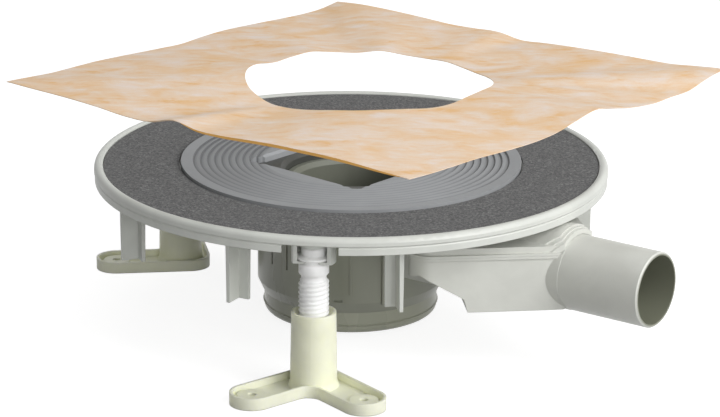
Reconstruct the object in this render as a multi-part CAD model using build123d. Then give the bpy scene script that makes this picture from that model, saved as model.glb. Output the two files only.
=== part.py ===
from build123d import *
import os
from math import atan2, cos, degrees, exp, radians, sin, sqrt

# Floor drain: a round sealing flange with a felt bed on three levelling feet, a bottle trap under it, a side
# outlet for 50 mm pipe, and the square sealing sheet held above the flange.
# Millimetres. +Z is up, the floor is at Z = 0, the drain's axis is the Z axis and the outlet leaves along +X.

# Flange
felt_top = 107.0
felt_thickness = 2.0
flange_diameter = 350.0
rim_width = 6.0
rim_rise = 1.5
rim_lip = 0.5
rim_drop = 3.8
rim_groove = 0.9
plate_thickness = 4.0
skirt_depth = 9.8
skirt_wall = 2.4
skirt_inset = 0.4
throat_diameter = 90.0
throat_wall = 3.0
throat_depth = 15.0
throat_ledge = 1.2
ledge_height = 7.5
rib_count = 18
rib_depth = 4.0
rib_wall = 2.0
notch_width = 36.8
notch_height = 5.4

# Ribbed ring with its square opening
ring_diameter = 232.0
ring_thickness = 5.2
ring_rise = 1.8
ring_fit = 0.6
ring_turn = -5.6
ring_band = 8.0
groove_pitch = 4.8
groove_depth = 0.9
groove_count = 10
opening_side = 96.0
opening_bevel = 1.6
ear_size = 15.0
ear_reach = 2.6
ear_radius = 3.0
pocket_reach = 58.0
pocket_diameter = 9.0
pocket_depth = 2.0

# Legs and feet share one pattern, turned a little from the outlet
pattern_turn = -2.4

# Moulded legs under the flange, angle section: one at each side of a foot and one half-way between two feet,
# but none over the outlet
leg_spacing = 40.0
leg_bottom = 55.0
leg_edge_gap = 10.5
leg_web = 14.0
leg_flange = 9.5
leg_wall = 2.4
leg_draft = 0.5

# Levelling feet
foot_angles = (-60.0, 60.0, 180.0)
foot_inset = 18.0
foot_turn = 2.0
arm_spread = 43.3
arm_root = 8.4
arm_length = 52.3
arm_width = 29.0
crotch_radius = 8.0
base_height = 8.0
base_floor = 3.0
base_wall = 2.0
hub_diameter = 34.0
screw_hole = 5.5
screw_boss = 19.0
screw_boss_height = 6.0
sleeve_wall = 4.4
sleeve_top = 53.5
sleeve_flare = 0.8
sleeve_fillet = 2.0
bore_bottom = 6.0
mouth_chamfer = 2.6

# Threaded post, its thread left as a plain cylinder; lengths run down from its head
post_diameter = 19.6
post_clearance = 0.3
head_diameter = 16.5
head_height = 5.6
head_fit = 0.3
neck_diameter = 15.6
collar_diameter = 23.0
collar_thickness = 2.6
collar_edge = 1.0
post_ring_height = 7.9
post_groove_diameter = 16.4
post_groove_height = 3.9
post_edge = 1.0
thread_length = 45.3
thread_chamfer = 1.5

# Snap clip round each post head
clip_wall = 2.2
clip_fit = 0.6
clip_chord = 15.0
hook_height = 1.6
hook_fit = 0.3
thrust_boss_diameter = 18.0
thrust_boss_drop = 3.2

# Pot: housing, lower cup and their seals
housing_diameter = 128.0
housing_wall = 2.5
housing_shoulder = 26.0
housing_lip = 7.6
lip_edge = 0.8
housing_fit = 0.4
collar_seal_height = 3.0
collar_seal_width = 4.9
collar_seal_fit = 0.1
cup_wall = 2.5
cup_fit = 0.3
cup_bottom = 3.0
cup_rim_height = 2.6
cup_rim_width = 1.7
cup_edge_radius = 4.0
cup_bead_rise = 6.0
cup_bead = 0.8
seal_height = 3.0
guide_angles = (-34.0, 34.0)
guide_width = 2.4
guide_depth = 2.4
guide_length = 76.0
wall_rib_angles = (-54.0, 54.0)
wall_rib_width = 1.4
wall_rib_depth = 0.7
wall_rib_length = 68.6
slit_angles = (-110.0, -96.0, 96.0, 110.0)
slit_width = 1.4
slit_depth = 1.2
slit_length = 56.6
latch_angles = (-61.5, 58.5, 178.5)
latch_width = 6.0
latch_depth = 1.2
latch_slot = 1.8
latch_rise = 2.0

# Trap tube standing in the throat
tube_gap = 5.0
tube_wall = 2.0
tube_bottom = 17.0
tube_rim_width = 3.6
tube_rim_height = 3.0
tube_fit = 0.4
trap_seal_height = 3.0
trap_seal_lap = 1.5

# Outlet channel and its lid, hung below the flange's ribs
lid_gap = 10.0
lid_rise = 6.0
lid_wall = 2.5
lid_edge = 1.2
pipe_diameter = 50.0
pipe_wall = 2.2
pipe_drop = 16.1
pipe_end = 243.8
pipe_bevel = 1.0
pipe_root_step = 0.3
channel_wall = 2.5
floor_lift = 3.7
duct_half_width = 27.0
wing_root = 76.0
wing_corner = (107.2, 87.3)
wing_radius = 14.0
prow_start = 175.5
prow_length = 8.5
wing_root_rise = 20.4
wing_apex_rise = 25.5
wing_apex_along = 10.0
wing_foot_rise = 9.0
wing_foot_along = 39.0
wing_step_along = 42.0
weir_drop = 14.0
seam_lip = 0.9
seam_lip_height = 1.8
hump_wall = 2.5
hump_start = 138.0
hump_seat = 6.0
hump_rise = 6.1
hump_steps = 3
hump_step = 1.1
hump_step_width = 2.4
channel_fit = 0.2

# Sealing sheet, held above the flange
sheet_side = 345.0
sheet_thickness = 1.0
sheet_hole = 168.0
sheet_gap = 57.1
sheet_offset = (9.8, 6.9)
sheet_turn = -3.4
sheet_grid = 24
sheet_trim = 3.5
sheet_tilt = (2.3, -3.4)
sheet_sag = (-1.7, -0.7)
sheet_twist = 1.7
corner_lift = 4.3
crease_offset = (-21.0, 26.0)
crease_height = 4.5
crease_width = 20.0

# Worked out from the sizes above
flange_radius = flange_diameter / 2
ring_radius = ring_diameter / 2
plate_top = felt_top - felt_thickness
plate_bottom = plate_top - plate_thickness
rib_bottom = plate_bottom - rib_depth
skirt_bottom = felt_top - skirt_depth
ring_top = felt_top + ring_rise
ring_seat = ring_top - ring_thickness
throat_radius = throat_diameter / 2
throat_bottom = plate_bottom - throat_depth
ledge_top = throat_bottom + ledge_height
bed_inner = ring_radius + ring_fit
bed_outer = flange_radius - rim_width
leg_reach = flange_radius - leg_edge_gap
foot_radius = flange_radius - foot_inset
post_radius = post_diameter / 2
bore_radius = post_radius + post_clearance
sleeve_radius = bore_radius + sleeve_wall
neck_radius = neck_diameter / 2
collar_radius = collar_diameter / 2
head_top = plate_bottom - thrust_boss_drop - head_fit
collar_top = head_top - head_height
collar_bottom = collar_top - collar_thickness
clip_inner = collar_radius + clip_fit
clip_bottom = collar_bottom - hook_fit - hook_height
housing_radius = housing_diameter / 2
housing_inner = housing_radius - housing_wall
cup_rim_radius = housing_inner - cup_fit
cup_radius = cup_rim_radius - cup_rim_width
cup_rim_bottom = housing_shoulder + cup_fit
tube_radius = throat_radius - tube_gap
seam_height = rib_bottom - lid_gap - lid_rise
pipe_radius = pipe_diameter / 2
pipe_height = seam_height - pipe_drop
root_radius = pipe_radius + pipe_root_step
hump_radius = pipe_radius + hump_rise
channel_floor = pipe_height - pipe_radius + floor_lift
prow_end = prow_start + prow_length
sheet_height = felt_top + sheet_gap


def spin(*points):
    """Solid of revolution about Z from (radius, height) points."""
    return revolve(Plane.XZ * make_face(Polyline(*points, close=True)), Axis.Z)


def tube(outer, inner, bottom, top):
    """Round ring between two radii and two heights."""
    return spin((inner, bottom), (outer, bottom), (outer, top), (inner, top))


def at_foot(angle):
    """Place of a foot's axis, with local x pointing outwards."""
    return Rot(0, 0, pattern_turn + angle) * Pos(foot_radius, 0, 0)


def slab(outline, bottom, top):
    """Upright prism of a flat outline between two heights."""
    return extrude(Pos(0, 0, bottom) * outline, amount=top - bottom)


def flange_plate():
    """Plate, rim bead, skirt and throat collar as one revolved section."""
    bead_top = felt_top + rim_rise
    bead_low = felt_top - rim_drop
    skirt_outer = flange_radius - skirt_inset
    ledge = throat_radius - throat_ledge
    edge = Polyline(
        (bed_outer, felt_top + rim_lip),
        (bed_outer, plate_top),
        (bed_inner, plate_top),
        (bed_inner, ring_seat),
        (throat_radius + throat_wall, ring_seat),
        (throat_radius, ring_seat - throat_wall),
        (throat_radius, ledge_top),
        (ledge, ledge_top),
        (ledge, throat_bottom),
        (throat_radius + throat_wall, throat_bottom),
        (throat_radius + throat_wall, plate_bottom),
        (flange_radius - skirt_wall, plate_bottom),
        (flange_radius - skirt_wall, skirt_bottom),
        (skirt_outer, skirt_bottom),
        (skirt_outer, bead_low - 2 * rim_groove),
        (flange_radius - rim_groove, bead_low - rim_groove),
        (flange_radius, bead_low),
        (flange_radius, felt_top - rim_rise),
    )
    bead = ThreePointArc(
        (flange_radius, felt_top - rim_rise),
        (flange_radius - rim_width / 2, bead_top),
        (bed_outer, felt_top + rim_lip),
    )
    return revolve(Plane.XZ * make_face(edge + bead), Axis.Z)


def leg(angle, hand):
    """Angle-section leg: a radial web with a flange at its inner edge, wider towards the plate."""
    section = Polyline(
        (0, 0), (leg_web, 0), (leg_web, leg_wall), (leg_wall, leg_wall),
        (leg_wall, leg_flange), (0, leg_flange), close=True,
    )
    place = Pos(leg_reach - leg_web, -leg_wall / 2, leg_bottom)
    body = extrude(place * make_face(section), amount=plate_bottom - leg_bottom, taper=-leg_draft)
    if hand < 0:
        body = mirror(body, Plane.XZ)
    return Rot(0, 0, pattern_turn + angle) * body


def clip(angle):
    """Two curved snap arms with hooks under the post's collar, and the boss that takes its thrust."""
    neck = neck_radius + hook_fit
    ring = spin(
        (clip_inner, plate_bottom),
        (clip_inner, clip_bottom + hook_height),
        (neck, clip_bottom + hook_height),
        (neck + hook_height / 2, clip_bottom),
        (clip_inner + clip_wall, clip_bottom),
        (clip_inner + clip_wall, plate_bottom),
    )
    reach = 2 * (clip_inner + clip_wall)
    height = plate_bottom - clip_bottom
    arms = ring & Pos(0, 0, plate_bottom - height / 2) * Box(clip_chord, reach, height)
    boss = slab(Circle(thrust_boss_diameter / 2), plate_bottom - thrust_boss_drop, plate_bottom)
    return at_foot(angle) * (arms + boss)


def make_flange():
    body = flange_plate()
    rib_start = housing_radius + housing_fit
    rib_length = flange_radius - skirt_wall / 2 - rib_start
    rib = Pos(rib_start + rib_length / 2, 0, plate_bottom - rib_depth / 2)
    rib = rib * Box(rib_length, rib_wall, rib_depth)
    for number in range(rib_count):
        body += Rot(0, 0, (number + 0.5) * 360 / rib_count) * rib
    gap = Pos(flange_radius, 0, skirt_bottom) * Box(2 * rim_width, notch_width, 2 * notch_height)
    for angle in foot_angles:
        body -= Rot(0, 0, pattern_turn + angle) * gap
        body += clip(angle)
        body += leg(angle - leg_spacing / 2, 1)
        body += leg(angle + leg_spacing / 2, -1)
    half_way = 180 / len(foot_angles)
    for angle in foot_angles[1:]:
        body += leg(angle + half_way, 1)
    pocket = Pos(pocket_reach, 0, 0) * slab(Circle(pocket_diameter / 2), ring_seat - pocket_depth, ring_seat)
    for corner in range(4):
        body -= Rot(0, 0, ring_turn + 45 + 90 * corner) * pocket
    return body


def make_felt():
    return tube(bed_outer - ring_fit, bed_inner + ring_fit, plate_top, felt_top)


def opening_outline():
    """Square opening with rounded ears at its corners."""
    outline = Rectangle(opening_side, opening_side)
    corner = opening_side / 2 + ear_reach / sqrt(2) - ear_size / 2
    ear = fillet(Rectangle(ear_size, ear_size).vertices(), ear_radius)
    for x in (-corner, corner):
        for y in (-corner, corner):
            outline += Pos(x, y) * ear
    return outline


def make_ribbed_ring():
    top = [(ring_radius, ring_top)]
    start = ring_radius - ring_band
    for number in range(groove_count):
        outer = start - number * groove_pitch
        top += [(outer, ring_top), (outer - groove_depth, ring_top - groove_depth)]
    last = start - groove_count * groove_pitch
    body = spin((0, ring_seat), (ring_radius, ring_seat), *top, (last, ring_top), (0, ring_top))
    outline = opening_outline()
    body -= slab(outline, ring_seat, ring_top)
    bevel = extrude(Pos(0, 0, ring_top - opening_bevel) * Rectangle(opening_side, opening_side),
                    amount=opening_bevel, taper=-45)
    return Rot(0, 0, ring_turn) * (body - bevel)


def wall_bar(angle, width, depth, length):
    """Upright bar half sunk in the pot's wall, hanging from the plate."""
    place = Rot(0, 0, angle) * Pos(housing_radius, 0, plate_bottom - length / 2)
    return place * Box(2 * depth, width, length)


def make_housing():
    outer = housing_radius
    lip = cup_radius + cup_fit
    lip_bottom = housing_shoulder - housing_lip
    collar = throat_radius + throat_wall + housing_fit
    body = spin(
        (collar, plate_bottom - housing_wall), (collar, plate_bottom), (outer, plate_bottom),
        (outer, housing_shoulder), (lip + lip_edge, lip_bottom), (lip, lip_bottom), (lip, housing_shoulder),
        (housing_inner, housing_shoulder), (housing_inner, plate_bottom - housing_wall),
    )
    for angle in guide_angles:
        body += wall_bar(angle, guide_width, guide_depth, guide_length)
    for angle in wall_rib_angles:
        body += wall_bar(angle, wall_rib_width, wall_rib_depth, wall_rib_length)
    for angle in slit_angles:
        body -= wall_bar(angle, slit_width, slit_depth, slit_length)
    latch = Pos(outer, 0, housing_shoulder + latch_rise) * Box(2 * latch_depth, latch_width, latch_slot)
    for angle in latch_angles:
        body -= Rot(0, 0, angle) * latch
    window_half = duct_half_width - channel_wall
    window_bottom = seam_height - weir_drop
    window_top = seam_height - channel_wall
    window = Pos(outer, 0, (window_bottom + window_top) / 2)
    return body - window * Box(2 * outer - 2 * window_half, 2 * window_half, window_top - window_bottom)


def make_collar_seal():
    inner = throat_radius + throat_wall + collar_seal_fit
    top = plate_bottom - housing_wall
    return tube(inner + collar_seal_width, inner, top - collar_seal_height, top)


def make_cup():
    inner = cup_radius - cup_wall
    rim_top = cup_rim_bottom + cup_rim_height
    body = spin(
        (0, cup_bottom), (cup_radius, cup_bottom), (cup_radius, cup_rim_bottom),
        (cup_rim_radius, cup_rim_bottom), (cup_rim_radius, rim_top), (inner, rim_top),
        (inner, cup_bottom + cup_wall), (0, cup_bottom + cup_wall),
    )
    low_edge = body.edges().filter_by(GeomType.CIRCLE).sort_by(Axis.Z)[0]
    body = fillet(low_edge, cup_edge_radius)
    root = cup_radius - cup_bead
    height = cup_bottom + cup_bead_rise
    low = height - cup_bead
    high = height + cup_bead
    crest = (cup_radius + cup_bead, height)
    return body + spin((root, low), (cup_radius, low), crest, (cup_radius, high), (root, high))


def make_cup_seal():
    bottom = cup_rim_bottom + cup_rim_height
    return tube(housing_inner - cup_fit / 2, cup_radius - cup_wall, bottom, bottom + seal_height)


def make_trap_tube():
    rim = throat_radius - tube_fit
    inner = tube_radius - tube_wall
    rim_top = ledge_top + tube_rim_height
    return spin(
        (inner, tube_bottom), (tube_radius, tube_bottom), (tube_radius, ledge_top), (rim, ledge_top),
        (rim, rim_top), (rim - tube_rim_width, rim_top), (inner, ledge_top),
    )


def make_trap_seal():
    outer = throat_radius - throat_ledge + trap_seal_lap
    top = throat_bottom - channel_fit
    return tube(outer, tube_radius + channel_fit, top - trap_seal_height, top)


def wing_slope():
    """Angle of the wings' slanted walls to the outlet's axis, in degrees."""
    corner_x, corner_y = wing_corner
    return degrees(atan2(corner_y - pipe_radius, prow_start - corner_x))


def channel_outline(grow):
    """Plan of the channel, widening from the duct into wings and narrowing to the pipe."""
    half = [
        (0, duct_half_width), (wing_root, duct_half_width), wing_corner,
        (prow_start, pipe_radius), (prow_end, pipe_radius - prow_length),
    ]
    points = [(x, -y) for x, y in half] + [(x, y) for x, y in reversed(half)]
    outline = make_face(Polyline(*points, close=True))
    corners = outline.vertices().sort_by(Axis.Y)
    outline = fillet([corners[0], corners[-1]], wing_radius)
    return offset(outline, grow, kind=Kind.INTERSECTION) if grow else outline


def under_wing(side, grow):
    """Space under one wing, arched along the slanted wall and open to the outside."""
    corner_x, corner_y = wing_corner
    below = channel_floor - channel_wall - grow
    ceiling = channel_floor + grow
    profile = Polyline(
        (-corner_y, below),
        (-corner_y, ceiling + wing_root_rise),
        (0, ceiling + wing_root_rise),
        (wing_apex_along, ceiling + wing_apex_rise),
        (wing_foot_along + grow / 2, ceiling + wing_foot_rise),
        (wing_step_along + grow, below),
        close=True,
    )
    turn = radians(wing_slope())
    outward = (sin(turn), -cos(turn), 0)
    wall = Plane(origin=(corner_x, -corner_y, 0), x_dir=(cos(turn), sin(turn), 0), z_dir=outward)
    depth = 2 * corner_y
    space = extrude(wall * make_face(profile), amount=depth, both=True)
    edge = duct_half_width - grow
    keep = Pos(0, -edge - depth, channel_floor) * Box(2 * (depth + pipe_end), 2 * depth, 2 * depth)
    space = space & keep
    return space if side < 0 else mirror(space, Plane.XZ)


def channel_body(grow, bottom, top):
    """Channel volume, with every wall moved in by -grow."""
    body = slab(channel_outline(grow), bottom, top)
    for side in (-1, 1):
        body -= under_wing(side, -grow)
    return body


def along_pipe(radius, start, end):
    """Round bar on the outlet's axis."""
    return Pos(start, 0, pipe_height) * Rot(0, 90, 0) * Cylinder(
        radius, end - start, align=(Align.CENTER, Align.CENTER, Align.MIN))


def pot_space():
    """Room that the channel and its lid leave for the pot."""
    outer = housing_radius + channel_fit
    return spin((0, 0), (outer, 0), (outer, felt_top), (0, felt_top))


def make_channel():
    shell = channel_body(0, channel_floor, seam_height)
    shell += slab(channel_outline(seam_lip), seam_height - seam_lip_height, seam_height)
    seat = prow_end - hump_seat
    below_seam = Pos(prow_start, 0, seam_height / 2) * Box(2 * prow_start, 4 * pipe_radius, seam_height)
    ahead = Pos(prow_end, 0, pipe_height) * Box(2 * hump_seat, 4 * pipe_radius, 4 * pipe_radius)
    shell += along_pipe(root_radius, hump_start, prow_end) & (below_seam + ahead)
    spigot = along_pipe(pipe_radius, seat, pipe_end)
    shell += chamfer(spigot.edges().sort_by(Axis.X)[-1], pipe_bevel)
    shell -= channel_body(-channel_wall, channel_floor + channel_wall, seam_height)
    shell -= along_pipe(pipe_radius - pipe_wall, prow_start - 2 * channel_wall, pipe_end)
    return shell - pot_space()


def hump(radius, grow):
    """Rounded cover over the pipe's root, ending in the same prow as the lid."""
    return along_pipe(radius, hump_start, pipe_end) & slab(channel_outline(grow), seam_height, felt_top)


def make_lid():
    top = seam_height + lid_rise
    body = slab(channel_outline(seam_lip), seam_height, seam_height + seam_lip_height)
    body += slab(channel_outline(-lid_edge), seam_height, top)
    for number in range(hump_steps):
        set_back = channel_fit + (hump_steps - 1 - number) * hump_step_width
        body += hump(hump_radius - number * hump_step, -set_back)
    hollow = hump_steps * (hump_step + hump_step_width)
    body -= slab(channel_outline(-lid_edge - lid_wall), seam_height, top - lid_wall)
    body -= hump(hump_radius - hump_wall, -hollow)
    body -= along_pipe(root_radius + channel_fit, hump_start + hump_wall, pipe_end)
    return body - pot_space()


def make_post():
    groove = post_groove_diameter / 2
    ring_top = collar_bottom - hook_height - 2 * hook_fit
    ring_bottom = ring_top - post_ring_height
    thread_top = ring_bottom - post_groove_height
    thread_bottom = thread_top - thread_length
    side = Polyline(
        (0, head_top), (0, thread_bottom), (post_radius - thread_chamfer, thread_bottom),
        (post_radius, thread_bottom + thread_chamfer), (post_radius, thread_top),
        (groove, thread_top + post_edge), (groove, ring_bottom - post_edge), (post_radius, ring_bottom),
        (post_radius, ring_top - post_edge), (neck_radius, ring_top), (neck_radius, collar_bottom),
        (collar_radius - collar_edge, collar_bottom), (collar_radius, (collar_bottom + collar_top) / 2),
        (neck_radius, collar_top),
    )
    dome = ThreePointArc(
        (neck_radius, collar_top), (head_diameter / 2, (collar_top + head_top) / 2), (neck_radius, head_top))
    lid = Line((neck_radius, head_top), (0, head_top))
    return revolve(Plane.XZ * make_face(side + dome + lid), Axis.Z)


def at_arm(side):
    """Root of one arm of a foot, inward of the post, with local x along the arm."""
    return Pos(-arm_root, 0, 0) * Rot(0, 0, side * arm_spread)


def base_outline():
    """Plan of a foot: a hub with two round-ended arms and a rounded crotch between them."""
    outline = Circle(hub_diameter / 2)
    for side in (-1, 1):
        bar = Pos(arm_length / 2, 0) * SlotCenterToCenter(arm_length, arm_width)
        outline += at_arm(side) * bar
    return offset(offset(outline, crotch_radius), -crotch_radius)


def make_foot():
    outline = base_outline()
    body = slab(outline, 0, base_height)
    body -= slab(offset(outline, -base_wall), base_floor, base_height)
    body += spin(
        (0, 0), (sleeve_radius + sleeve_fillet, 0), (sleeve_radius + sleeve_fillet, base_floor),
        (sleeve_radius + sleeve_flare, base_floor + 2 * sleeve_fillet),
        (sleeve_radius, sleeve_top), (0, sleeve_top),
    )
    for side in (-1, 1):
        end = at_arm(side) * Pos(arm_length, 0, 0)
        body += end * slab(Circle(screw_boss / 2), 0, screw_boss_height)
        body -= end * slab(Circle(screw_hole / 2), 0, base_height)
    body -= spin(
        (0, bore_bottom), (bore_radius, bore_bottom), (bore_radius, sleeve_top - mouth_chamfer),
        (bore_radius + mouth_chamfer, sleeve_top), (0, sleeve_top),
    )
    return Rot(0, 0, foot_turn) * body


def sheet_lift(x, y):
    """Height of the sheet above its mean level at a point of the flat square."""
    u = 2 * x / sheet_side
    v = 2 * y / sheet_side
    fold_x = exp(-(((x - crease_offset[0]) / crease_width) ** 2))
    fold_y = exp(-(((y - crease_offset[1]) / crease_width) ** 2))
    slope = sheet_tilt[0] * u + sheet_tilt[1] * v + sheet_twist * u * v
    sag = sheet_sag[0] * u * u + sheet_sag[1] * v * v
    return crease_height * (abs(v) * fold_x + abs(u) * fold_y) + slope + sag + corner_lift * u * u * v * v


def make_sheet():
    """Thin square sheet with soft folds and a round hole."""
    reach = sheet_side / 2 + sheet_trim
    steps = [reach * (2 * number / sheet_grid - 1) for number in range(sheet_grid + 1)]
    rows = [[Vector(x, y, sheet_height + sheet_lift(x, y)) for x in steps] for y in steps]
    skin = extrude(Face.make_surface_from_array_of_points(rows), amount=sheet_thickness, dir=(0, 0, 1))
    plan = Rectangle(sheet_side, sheet_side) - Circle(sheet_hole / 2)
    cutter = slab(plan, sheet_height - sheet_side / 2, sheet_height + sheet_side / 2)
    return Pos(*sheet_offset) * Rot(0, 0, sheet_turn) * (skin & cutter)


def main():
    nodes = {
        "flange": make_flange(),
        "felt_ring": make_felt(),
        "ribbed_ring": make_ribbed_ring(),
        "housing": make_housing(),
        "collar_seal": make_collar_seal(),
        "lower_cup": make_cup(),
        "cup_seal": make_cup_seal(),
        "trap_tube": make_trap_tube(),
        "trap_seal": make_trap_seal(),
        "outlet_channel": make_channel(),
        "channel_lid": make_lid(),
        "sealing_sheet": make_sheet(),
    }
    post = make_post()
    foot = make_foot()
    for number, angle in enumerate(foot_angles, start=1):
        nodes[f"threaded_post_{number}"] = at_foot(angle) * post
        nodes[f"foot_{number}"] = at_foot(angle) * foot
    os.makedirs("parts", exist_ok=True)
    for name, solid in nodes.items():
        export_step(solid, f"parts/{name}.step")


main()
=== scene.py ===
import bpy
import math
from mathutils import Matrix, Vector


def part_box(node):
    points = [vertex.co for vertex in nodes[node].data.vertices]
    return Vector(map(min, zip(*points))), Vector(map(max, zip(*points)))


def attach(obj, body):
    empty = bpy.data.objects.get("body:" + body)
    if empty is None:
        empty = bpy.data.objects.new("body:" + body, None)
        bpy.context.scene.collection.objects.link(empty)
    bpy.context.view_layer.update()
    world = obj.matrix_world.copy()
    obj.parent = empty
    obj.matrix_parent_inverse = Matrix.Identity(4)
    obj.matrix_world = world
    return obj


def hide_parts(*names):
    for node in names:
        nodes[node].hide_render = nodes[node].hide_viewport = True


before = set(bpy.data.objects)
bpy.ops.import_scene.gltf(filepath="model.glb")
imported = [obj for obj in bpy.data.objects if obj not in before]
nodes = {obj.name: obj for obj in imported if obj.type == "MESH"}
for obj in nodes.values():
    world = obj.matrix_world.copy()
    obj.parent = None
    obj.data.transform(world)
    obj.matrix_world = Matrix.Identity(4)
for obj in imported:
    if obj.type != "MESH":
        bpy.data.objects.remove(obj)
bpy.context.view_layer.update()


def linear(level):
    """Linear light for one colour level as seen, on a 0-255 scale."""
    return level / 255 / 12.92 if level <= 10 else ((level / 255 + 0.055) / 1.055) ** 2.4


def srgb(*levels):
    """Colour for a shader from its levels as seen, on a 0-255 scale."""
    return tuple(linear(level) for level in levels) + (1.0,)


def shade(colour, step):
    """The same colour a little lighter or darker, as seen."""
    return srgb(*(min(255, max(0, level + step)) for level in colour))


def grey(light):
    """Grey for a shader, in linear light."""
    return (light, light, light, 1.0)


class Look:
    """A material and the nodes that make its detail."""

    def __init__(self, name):
        self.material = bpy.data.materials.new(name)
        self.material.use_nodes = True
        self.tree = self.material.node_tree
        self.shader = self.tree.nodes["Principled BSDF"]
        self.place = self.add("ShaderNodeTexCoord").outputs["Object"]

    def add(self, kind, **values):
        node = self.tree.nodes.new(kind)
        for key, value in values.items():
            setattr(node, key, value)
        return node

    def link(self, source, target):
        self.tree.links.new(source, target)

    def set(self, **values):
        for key, value in values.items():
            self.shader.inputs[key.replace("_", " ")].default_value = value

    def noise(self, size, detail=3.0, rough=0.55, distortion=0.0, turn=0.0):
        """Noise whose features are `size` millimetres along x, y and z, turned about z."""
        place = self.add("ShaderNodeMapping", vector_type="TEXTURE")
        place.inputs["Scale"].default_value = [length / 1000 for length in size]
        place.inputs["Rotation"].default_value = (0, 0, math.radians(turn))
        self.link(self.place, place.inputs["Vector"])
        node = self.add("ShaderNodeTexNoise")
        node.inputs["Scale"].default_value = 1.0
        node.inputs["Detail"].default_value = detail
        node.inputs["Roughness"].default_value = rough
        node.inputs["Distortion"].default_value = distortion
        self.link(place.outputs["Vector"], node.inputs["Vector"])
        return node.outputs["Fac"]

    def ramp(self, fac, *stops):
        """Colour that runs through (place, colour) stops as `fac` goes from 0 to 1."""
        node = self.add("ShaderNodeValToRGB")
        first, last = node.color_ramp.elements
        first.position, first.color = stops[0]
        last.position, last.color = stops[-1]
        for place, colour in stops[1:-1]:
            node.color_ramp.elements.new(place).color = colour
        self.link(fac, node.inputs["Fac"])
        return node.outputs["Color"]

    def span(self, fac, low, high, start=0.0, end=1.0):
        """Value that goes from `low` to `high` as `fac` goes from `start` to `end`."""
        node = self.add("ShaderNodeMapRange")
        for key, value in (("From Min", start), ("From Max", end), ("To Min", low), ("To Max", high)):
            node.inputs[key].default_value = value
        self.link(fac, node.inputs["Value"])
        return node.outputs["Result"]

    def mix(self, fac, below, above):
        """Colour `above` laid over a colour socket `below`, as strongly as `fac` says."""
        node = self.add("ShaderNodeMix", data_type="RGBA")
        self.link(fac, node.inputs[0])
        self.link(below, node.inputs[6])
        node.inputs[7].default_value = above
        return node.outputs[2]

    def bump(self, height, strength, distance, under=None):
        node = self.add("ShaderNodeBump")
        node.inputs["Strength"].default_value = strength
        node.inputs["Distance"].default_value = distance
        self.link(height, node.inputs["Height"])
        if under is not None:
            self.link(under, node.inputs["Normal"])
        return node.outputs["Normal"]

    def from_axis(self, across, centre=(0, 0, 0)):
        """Distance in metres from a line through `centre`, with 1 in `across` for the directions counted."""
        moved = self.add("ShaderNodeVectorMath", operation="SUBTRACT")
        moved.inputs[1].default_value = centre
        self.link(self.place, moved.inputs[0])
        flat = self.add("ShaderNodeVectorMath", operation="MULTIPLY")
        flat.inputs[1].default_value = across
        self.link(moved.outputs["Vector"], flat.inputs[0])
        length = self.add("ShaderNodeVectorMath", operation="LENGTH")
        self.link(flat.outputs["Vector"], length.inputs[0])
        return length.outputs["Value"]

    def colour(self, socket):
        self.link(socket, self.shader.inputs["Base Color"])

    def roughness(self, socket):
        self.link(socket, self.shader.inputs["Roughness"])

    def normal(self, socket):
        self.link(socket, self.shader.inputs["Normal"])


# Moulded plastics and rubber: noise sizes in millimetres, other lengths in metres
GRAIN_SIZE = (0.45, 0.45, 0.45)
POT_FLOW = (40, 40, 160)
THROAT_REACH = 0.080
PIPE_HEIGHT = 0.0649
PIPE_WALL_MIDDLE = 0.0239
SHADE_BLEND = 0.0005


def moulded(name, colour, rough=0.42, flow=(30, 30, 30), spread=4, edge=0.0006):
    """Moulded plastic: slight streaks from the melt, fine spark grain, uneven gloss and softened edges."""
    look = Look(name)
    melt = look.noise(flow, detail=4.0, distortion=0.5)
    grain = look.noise(GRAIN_SIZE, detail=2.0, rough=0.6)
    tint = look.ramp(melt, (0.34, shade(colour, -spread)), (0.66, shade(colour, spread)))
    look.tint = look.mix(look.span(grain, 0.0, 0.12), tint, shade(colour, -3 * spread))
    look.colour(look.tint)
    look.roughness(look.span(melt, rough - 0.05, rough + 0.07, start=0.3, end=0.7))
    soft = look.add("ShaderNodeBevel", samples=4)
    soft.inputs["Radius"].default_value = edge
    wave = look.bump(melt, strength=0.03, distance=0.0006, under=soft.outputs["Normal"])
    look.normal(look.bump(grain, strength=0.2, distance=0.0001, under=wave))
    return look


def paint_shade_inside(look, distance, radius, colour):
    """Darker colour within a radius, for the shade that the photograph shows inside the moulding."""
    inside = look.span(distance, 1.0, 0.0, start=radius - SHADE_BLEND, end=radius + SHADE_BLEND)
    look.colour(look.mix(inside, look.tint, srgb(*colour)))


flange_look = moulded("flange_plastic", (206, 208, 202), rough=0.4)
# Painted shade: the flange's throat within THROAT_REACH of the axis is coloured darker
paint_shade_inside(flange_look, flange_look.from_axis((1, 1, 0)), THROAT_REACH, (68, 69, 65))
pot_look = moulded("pot_plastic", (150, 152, 138), rough=0.3, flow=POT_FLOW, spread=3)
cup_look = moulded("cup_plastic", (172, 174, 156), rough=0.27, flow=POT_FLOW, spread=3)
tube_look = moulded("tube_plastic", (116, 118, 107), rough=0.36, flow=POT_FLOW, spread=3)
channel_look = moulded("channel_plastic", (208, 209, 202), rough=0.38)
# Painted shade: the inside of the outlet pipe's bore is coloured darker
from_pipe = channel_look.from_axis((0, 1, 1), (0, 0, PIPE_HEIGHT))
paint_shade_inside(channel_look, from_pipe, PIPE_WALL_MIDDLE, (124, 126, 110))
post_look = moulded("post_plastic", (250, 250, 249), rough=0.4, flow=(9, 9, 9), spread=2, edge=0.0004)
post_look.set(Subsurface_Weight=0.4, Subsurface_Radius=(0.004, 0.004, 0.004), Subsurface_Scale=1.0)
foot_look = moulded("foot_plastic", (238, 239, 214), rough=0.4, flow=(24, 24, 24), edge=0.0012)
foot_look.set(Subsurface_Weight=0.4, Subsurface_Radius=(0.008, 0.008, 0.005), Subsurface_Scale=1.0)
rubber_look = moulded("seal_rubber", (30, 30, 31), rough=0.62, flow=(12, 12, 12), spread=5)
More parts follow.
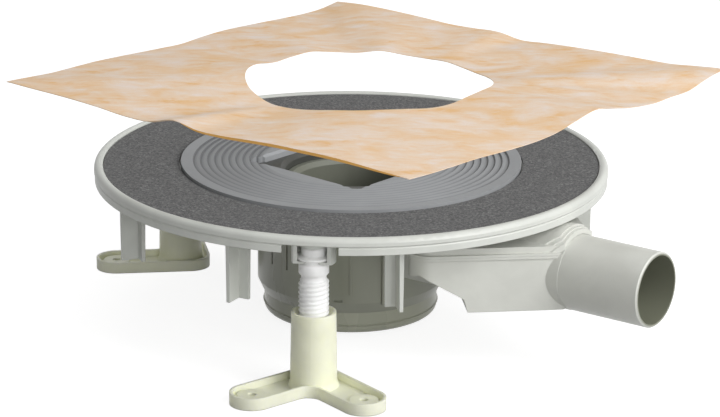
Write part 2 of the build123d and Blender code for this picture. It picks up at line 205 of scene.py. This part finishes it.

# Ribbed ring: painted shade darkens the bottoms of its grooves
GROOVE_START = 0.108
GROOVE_PITCH = 0.0048
GROOVE_COUNT = 10
GROOVE_END = GROOVE_START - GROOVE_COUNT * GROOVE_PITCH


def make_ring_look():
    look = moulded("ring_plastic", (148, 150, 152), rough=0.55, edge=0.0003)
    grooves = look.span(look.from_axis((1, 1, 0)), 0.0, GROOVE_COUNT, start=GROOVE_START, end=GROOVE_END)
    within = look.add("ShaderNodeMath", operation="FRACT")
    look.link(grooves, within.inputs[0])
    # Painted shade, darkest near the bottom of each groove and fading up its slope
    groove_shade = look.ramp(
        within.outputs["Value"], (0.0, grey(0.0)), (0.02, grey(0.8)), (0.2, grey(0.8)), (0.3, grey(0.35)),
        (0.5, grey(0.22)), (0.62, grey(0.0)))
    look.colour(look.mix(groove_shade, look.tint, srgb(78, 80, 82)))
    return look


def make_felt_look():
    """Needled felt: pale and dark fibres in tufts, with a slow drift of tone."""
    look = Look("felt")
    fibre = look.noise((1.5, 1.5, 1.5), rough=0.7, distortion=0.6)
    tuft = look.noise((4.5, 4.5, 4.5), rough=0.6, distortion=0.8)
    drift = look.noise((40, 40, 40), rough=0.6)
    tone = look.ramp(fibre, (0.30, srgb(36, 36, 36)), (0.5, srgb(84, 84, 84)), (0.70, srgb(140, 140, 139)))
    tone = look.mix(look.span(tuft, 0.0, 0.4, start=0.42, end=0.7), tone, srgb(62, 62, 62))
    look.colour(look.mix(look.span(drift, 0.0, 0.2, start=0.3, end=0.7), tone, srgb(90, 90, 89)))
    tufts = look.bump(tuft, strength=0.5, distance=0.0008)
    look.normal(look.bump(fibre, strength=0.6, distance=0.0006, under=tufts))
    look.set(Roughness=0.95, Sheen_Weight=0.15, Sheen_Roughness=0.6, Specular_IOR_Level=0.15)
    return look


# Fleece: orange clouds and pale wisps, both drawn out along one direction
FLEECE_TURN = 36.0


def make_fleece_look():
    look = Look("sheet_fleece")
    cloud = look.noise((44, 34, 40), distortion=0.8, turn=FLEECE_TURN)
    wisp = look.noise((26, 13, 16), detail=5.0, rough=0.62, distortion=0.4, turn=FLEECE_TURN)
    strand = look.noise((9.0, 2.4, 2.4), detail=4.0, rough=0.7, distortion=0.5, turn=FLEECE_TURN)
    fuzz = look.noise((0.8, 0.8, 0.8), rough=0.7)
    peach = look.ramp(
        wisp, (0.32, srgb(235, 190, 134)), (0.42, srgb(239, 207, 172)), (0.54, srgb(240, 218, 196)),
        (0.68, srgb(241, 227, 218)))
    peach = look.mix(look.span(cloud, 0.0, 0.65, start=0.48, end=0.70), peach, srgb(238, 192, 130))
    peach = look.mix(look.span(strand, 0.0, 0.4, start=0.5, end=0.75), peach, srgb(242, 229, 219))
    look.colour(look.mix(look.span(fuzz, 0.0, 0.25, start=0.35, end=0.7), peach, srgb(233, 194, 150)))
    nap = look.bump(fuzz, strength=0.3, distance=0.0003)
    look.normal(look.bump(strand, strength=0.35, distance=0.0005, under=nap))
    look.set(Roughness=0.9, Sheen_Weight=0.1, Sheen_Roughness=0.5, Specular_IOR_Level=0.2)
    return look


ring_look = make_ring_look()
felt_look = make_felt_look()
fleece_look = make_fleece_look()
core_look = moulded("sheet_core", (250, 190, 100), rough=0.6, flow=(8, 8, 8), spread=5, edge=0.0002)

# Materials of the CAD solids
FEET = (1, 2, 3)
looks = {
    "flange": flange_look, "felt_ring": felt_look, "ribbed_ring": ring_look, "housing": pot_look,
    "lower_cup": cup_look, "collar_seal": rubber_look, "cup_seal": rubber_look, "trap_seal": rubber_look,
    "trap_tube": tube_look, "outlet_channel": channel_look, "channel_lid": channel_look,
    "sealing_sheet": fleece_look,
}
for number in FEET:
    looks[f"threaded_post_{number}"] = post_look
    looks[f"foot_{number}"] = foot_look
for name, look in looks.items():
    mesh = nodes[name].data
    mesh.materials.clear()
    mesh.materials.append(look.material)


def piece(name, points, faces, look, body, smooth):
    """New mesh in metres, shaded smooth below an angle, riding on a body."""
    mesh = bpy.data.meshes.new(name)
    mesh.from_pydata([tuple(p) for p in points], [], faces)
    mesh.materials.append(look.material)
    obj = bpy.data.objects.new(name, mesh)
    bpy.context.scene.collection.objects.link(obj)
    mesh.validate()
    mesh.update()
    mesh.shade_smooth()
    mesh.set_sharp_from_angle(angle=math.radians(smooth))
    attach(obj, body)
    return obj


# Levelling posts in millimetres, with the thread that CAD leaves as a plain cylinder
PITCH = 3.0
CREST = 9.8
ROOT = 8.7
THREAD_BOTTOM = 30.0
THREAD_TOP = 75.3
FADE_BOTTOM = 2.0
FADE_TOP = 1.2
TOOTH_WIDTH = 1.45
TOOTH_SLOPE = 4.2
TURN_STEPS = 60
PITCH_STEPS = 9
POST_SMOOTH = 42.0
HEAD = [
    (8.6, 75.4), (8.2, 76.1), (8.2, 78.5), (8.5, 78.9), (9.4, 79.3), (9.8, 79.9), (9.8, 85.6), (9.5, 86.2),
    (8.8, 86.7), (7.8, 87.1), (7.8, 89.25), (8.3, 89.35), (10.6, 89.4), (11.2, 89.8), (11.5, 90.6),
    (11.2, 91.2), (9.8, 91.7), (8.0, 92.1), (7.9, 92.8), (8.2, 94.0), (8.25, 95.2), (8.1, 96.4), (7.7, 97.1),
    (7.0, 97.45),
]


def thread_radius(turn, height):
    """Radius of the rounded thread at a share of a turn, fading at both ends."""
    phase = (height / PITCH - turn) % 1.0
    tooth = min(1.0, max(0.0, TOOTH_WIDTH - abs(phase - 0.5) * TOOTH_SLOPE))
    tooth = tooth * tooth * (3 - 2 * tooth)
    fade = min(1.0, (height - THREAD_BOTTOM) / FADE_BOTTOM, (THREAD_TOP - height) / FADE_TOP)
    return ROOT + (CREST - ROOT) * tooth * max(0.0, fade)


def post_rings():
    """Radius at each step of a turn, and height, for the rings of a post from the bottom up."""
    length = THREAD_TOP - THREAD_BOTTOM
    rows = round(length / PITCH * PITCH_STEPS)
    for row in range(rows + 1):
        height = THREAD_BOTTOM + length * row / rows
        yield [thread_radius(k / TURN_STEPS, height) for k in range(TURN_STEPS)], height
    for radius, height in HEAD:
        yield [radius] * TURN_STEPS, height


def make_post(number):
    low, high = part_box(f"threaded_post_{number}")
    middle = (low + high) / 2
    points = []
    for radii, height in post_rings():
        for k, radius in enumerate(radii):
            angle = 2 * math.pi * (k / TURN_STEPS)
            x = middle.x + radius * math.cos(angle) / 1000
            y = middle.y + radius * math.sin(angle) / 1000
            points.append((x, y, height / 1000))
    faces = []
    last = len(points) - TURN_STEPS
    for start in range(0, last, TURN_STEPS):
        for k in range(TURN_STEPS):
            a, b = start + k, start + (k + 1) % TURN_STEPS
            faces.append((a, b, b + TURN_STEPS, a + TURN_STEPS))
    faces.append(tuple(reversed(range(TURN_STEPS))))
    faces.append(tuple(range(last, last + TURN_STEPS)))
    name = f"post_{number}_threaded"
    post = piece(name, points, faces, post_look, f"post_{number}", POST_SMOOTH)
    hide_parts(f"threaded_post_{number}")


for number in FEET:
    make_post(number)

# Sealing sheet in millimetres, with heights above the floor solved from its outline in the photograph
SHEET_SIDE = 345.0
SHEET_HOLE = 168.0
SHEET_THICK = 1.0
SHEET_EDGE = 0.4
SHEET_PLACE = (9.8, 6.9)
SHEET_TURN = -3.4
SHEET_SMOOTH = 60.0
EDGE_HEIGHTS = (
    158.4, 160.0, 160.3, 160.1, 159.6, 159.0, 159.6, 160.6, 158.0, 159.5, 160.7, 161.6, 162.2, 162.6,
    163.2, 165.4, 167.0, 165.0, 161.2, 161.2, 161.2, 163.4, 167.6, 171.2, 168.4, 165.2, 164.3, 164.8,
    166.0, 167.2, 167.6, 168.2, 169.4, 170.0, 170.9, 171.2, 170.8, 170.2, 168.9, 167.4, 167.0, 169.8,
    165.0, 164.7, 166.2, 167.2, 167.7, 167.9, 168.2, 166.9, 165.5, 165.2, 164.8, 163.7, 162.4, 161.1,
    160.0, 160.9, 161.1, 160.2, 159.0, 157.7, 156.6, 156.4,
)
HOLE_HEIGHTS = (
    168.2, 168.4, 166.8, 164.6, 162.4, 160.4, 158.8, 159.0, 160.2, 160.0, 160.8, 162.8, 161.4, 162.6,
    164.6, 163.4, 162.4, 165.2, 167.4, 168.2, 167.2, 165.4, 163.9, 162.4, 162.8, 164.2, 165.9, 166.7,
    167.3, 167.1, 166.0, 166.3,
)
AROUND = 384
ACROSS = 40
ROLL_START = 0.505
ROLL_END = 0.635
ROLL_DEPTH = 1.6


def smooth_loop(values, share):
    """Value at a share of the way round a loop of even samples, by a cubic through the four nearest."""
    count = len(values)
    place = share * count
    k = math.floor(place)
    t = place - k
    a, b, c, d = (values[(k + n) % count] for n in (-1, 0, 1, 2))
    return b + 0.5 * t * (c - a + t * (2 * a - 5 * b + 4 * c - d + t * (3 * (b - c) + d - a)))


def sheet_column(turn):
    """Points of the hole and of the edge that lie in the same direction."""
    side = math.floor(turn * 4)
    half = SHEET_SIDE / 2
    reach = half * (2 * (turn * 4 - side) - 1)
    x, y = ((reach, half), (half, -reach), (-reach, -half), (-half, reach))[side]
    angle = math.atan2(y, x)
    hole_height = smooth_loop(HOLE_HEIGHTS, (angle / (2 * math.pi)) % 1.0)
    hole = (SHEET_HOLE / 2 * math.cos(angle), SHEET_HOLE / 2 * math.sin(angle), hole_height)
    return hole, (x, y, smooth_loop(EDGE_HEIGHTS, turn))


def edge_roll(turn):
    """Extra thickness where the front-left edge is rolled under."""
    share = (turn - ROLL_START) / (ROLL_END - ROLL_START)
    return ROLL_DEPTH * math.sin(math.pi * share) ** 0.5 if 0 < share < 1 else 0.0


def sheet_top():
    """Points of the soft upper face in metres, ring by ring from the hole to the edge."""
    turn = math.radians(SHEET_TURN)
    columns = [sheet_column(k / AROUND) for k in range(AROUND)]
    for row in range(ACROSS + 1):
        share = row / ACROSS
        for hole, edge in columns:
            x, y, z = (start + (end - start) * share for start, end in zip(hole, edge))
            turned_x = SHEET_PLACE[0] + x * math.cos(turn) - y * math.sin(turn)
            turned_y = SHEET_PLACE[1] + x * math.sin(turn) + y * math.cos(turn)
            yield turned_x / 1000, turned_y / 1000, z / 1000


def make_sheet():
    points = list(sheet_top())
    count = len(points)
    under = [SHEET_EDGE] * AROUND + [SHEET_THICK] * (count - 2 * AROUND)
    under += [SHEET_EDGE + edge_roll(k / AROUND) for k in range(AROUND)]
    points += [(x, y, z - thick / 1000) for (x, y, z), thick in zip(points, under)]
    faces, rim = [], []
    for row in range(ACROSS):
        for k in range(AROUND):
            a, b = row * AROUND + k, row * AROUND + (k + 1) % AROUND
            faces.append((a, a + AROUND, b + AROUND, b))
            faces.append((count + a, count + b, count + b + AROUND, count + a + AROUND))
    for k in range(AROUND):
        a, b = k, (k + 1) % AROUND
        rim.append((a, b, count + b, count + a))
        a, b = ACROSS * AROUND + k, ACROSS * AROUND + (k + 1) % AROUND
        rim.append((b, a, count + a, count + b))
    sheet = piece(
        "sealing_sheet_fleece", points, faces + rim, fleece_look, "drain", SHEET_SMOOTH)
    sheet.data.materials.append(core_look.material)
    outer_rim = list(sheet.data.polygons)[len(faces) + 1::2]
    for k, polygon in enumerate(outer_rim):
        polygon.material_index = 1 if edge_roll(k / AROUND) else 0
    # The photograph shows neither the sheet's shadow nor its colour on the felt
    sheet.visible_shadow = False
    sheet.visible_diffuse = False
    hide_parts("sealing_sheet")


make_sheet()

# White studio in metres: floor, background and lights
FLOOR_REACH = 6.0
FLOOR_DROP = 0.0004
FLOOR_GREY = 0.38
FLOOR_GLOW = 0.86
SKY_STRENGTH = 0.24
WHITE = grey(1.0)


def seen_white(tree):
    """1 for the rays that should meet the white studio: camera, glossy and transmission."""
    path = tree.nodes.new("ShaderNodeLightPath")
    seen = path.outputs["Is Camera Ray"]
    for other in ("Is Glossy Ray", "Is Transmission Ray"):
        both = tree.nodes.new("ShaderNodeMath")
        both.operation = "MAXIMUM"
        tree.links.new(seen, both.inputs[0])
        tree.links.new(path.outputs[other], both.inputs[1])
        seen = both.outputs["Value"]
    return seen


def make_floor():
    mesh = bpy.data.meshes.new("floor")
    corners = [(x * FLOOR_REACH, y * FLOOR_REACH, 0) for x, y in ((-1, -1), (1, -1), (1, 1), (-1, 1))]
    mesh.from_pydata(corners, [], [(0, 1, 2, 3)])
    floor = bpy.data.objects.new("floor", mesh)
    bpy.context.scene.collection.objects.link(floor)
    floor.location = (0, 0, -FLOOR_DROP)
    look = Look("floor_white")
    look.set(Base_Color=grey(FLOOR_GREY), Roughness=0.9, Specular_IOR_Level=0.1, Emission_Color=WHITE)
    glow = look.span(seen_white(look.tree), 0.0, FLOOR_GLOW)
    look.link(glow, look.shader.inputs["Emission Strength"])
    mesh.materials.append(look.material)


def make_background():
    """White to the rays that should see it, and a weaker sky to the rest."""
    world = bpy.data.worlds.new("studio")
    bpy.context.scene.world = world
    world.use_nodes = True
    tree = world.node_tree
    white = tree.nodes.new("ShaderNodeBackground")
    sky = tree.nodes["Background"]
    for background, strength in ((white, 1.0), (sky, SKY_STRENGTH)):
        background.inputs["Color"].default_value = WHITE
        background.inputs["Strength"].default_value = strength
    blend = tree.nodes.new("ShaderNodeMixShader")
    tree.links.new(seen_white(tree), blend.inputs["Fac"])
    tree.links.new(sky.outputs["Background"], blend.inputs[1])
    tree.links.new(white.outputs["Background"], blend.inputs[2])
    tree.links.new(blend.outputs["Shader"], tree.nodes["World Output"].inputs["Surface"])


def softbox(name, place, aim, size, power):
    light = bpy.data.lights.new(name, "AREA")
    light.shape = "RECTANGLE"
    light.size, light.size_y = size
    light.energy = power
    obj = bpy.data.objects.new(name, light)
    bpy.context.scene.collection.objects.link(obj)
    obj.location = place
    obj.rotation_euler = (Vector(aim) - Vector(place)).to_track_quat("-Z", "Y").to_euler()


make_floor()
make_background()
softbox("key", place=(2.2, 0.12, 1.5), aim=(0, 0, 0.08), size=(1.6, 1.6), power=52.0)
softbox("top", place=(-0.1, 0.3, 2.4), aim=(0, 0, 0.1), size=(2.0, 2.0), power=12.0)
softbox("fill", place=(2.08, -1.46, 0.6), aim=(0, 0, 0.05), size=(1.2, 0.8), power=16.0)

# Camera in metres and pixels, fitted to the photograph's ellipses
AZIMUTH = math.radians(36.2)
ELEVATION = math.radians(16.852)
ROLL = math.radians(0.31)
DISTANCE = 2.15
TARGET = Vector((0, 0, 0.107))
TARGET_PIXEL = (351.23, 160.87)
IMAGE = (720, 417)
FOCAL_PIXELS = 3151.3
SENSOR_WIDTH = 36.0
CLIP_END = 50.0


def camera_place():
    """Place of the camera and its turn, with the target at its pixel."""
    level = math.cos(ELEVATION)
    back = Vector((math.sin(AZIMUTH) * level, -math.cos(AZIMUTH) * level, math.sin(ELEVATION)))
    right = Vector((math.cos(AZIMUTH), math.sin(AZIMUTH), 0))
    up = back.cross(right)
    right, up = right * math.cos(ROLL) + up * math.sin(ROLL), up * math.cos(ROLL) - right * math.sin(ROLL)
    aim_x = (TARGET_PIXEL[0] - IMAGE[0] / 2) / FOCAL_PIXELS
    aim_y = (IMAGE[1] / 2 - TARGET_PIXEL[1]) / FOCAL_PIXELS
    forward = (-back - right * aim_x - up * aim_y).normalized()
    right = (right - forward * right.dot(forward)).normalized()
    up = right.cross(forward)
    turn = Matrix((right, up, -forward)).transposed().to_4x4()
    return Matrix.Translation(TARGET + back * DISTANCE) @ turn


def make_camera():
    camera_data = bpy.data.cameras.new("camera")
    camera_data.sensor_width = SENSOR_WIDTH
    camera_data.lens = FOCAL_PIXELS / IMAGE[0] * SENSOR_WIDTH
    camera_data.clip_end = CLIP_END
    camera = bpy.data.objects.new("camera", camera_data)
    bpy.context.scene.collection.objects.link(camera)
    camera.matrix_world = camera_place()
    bpy.context.scene.camera = camera


make_camera()
bpy.context.scene.view_settings.view_transform = "Standard"
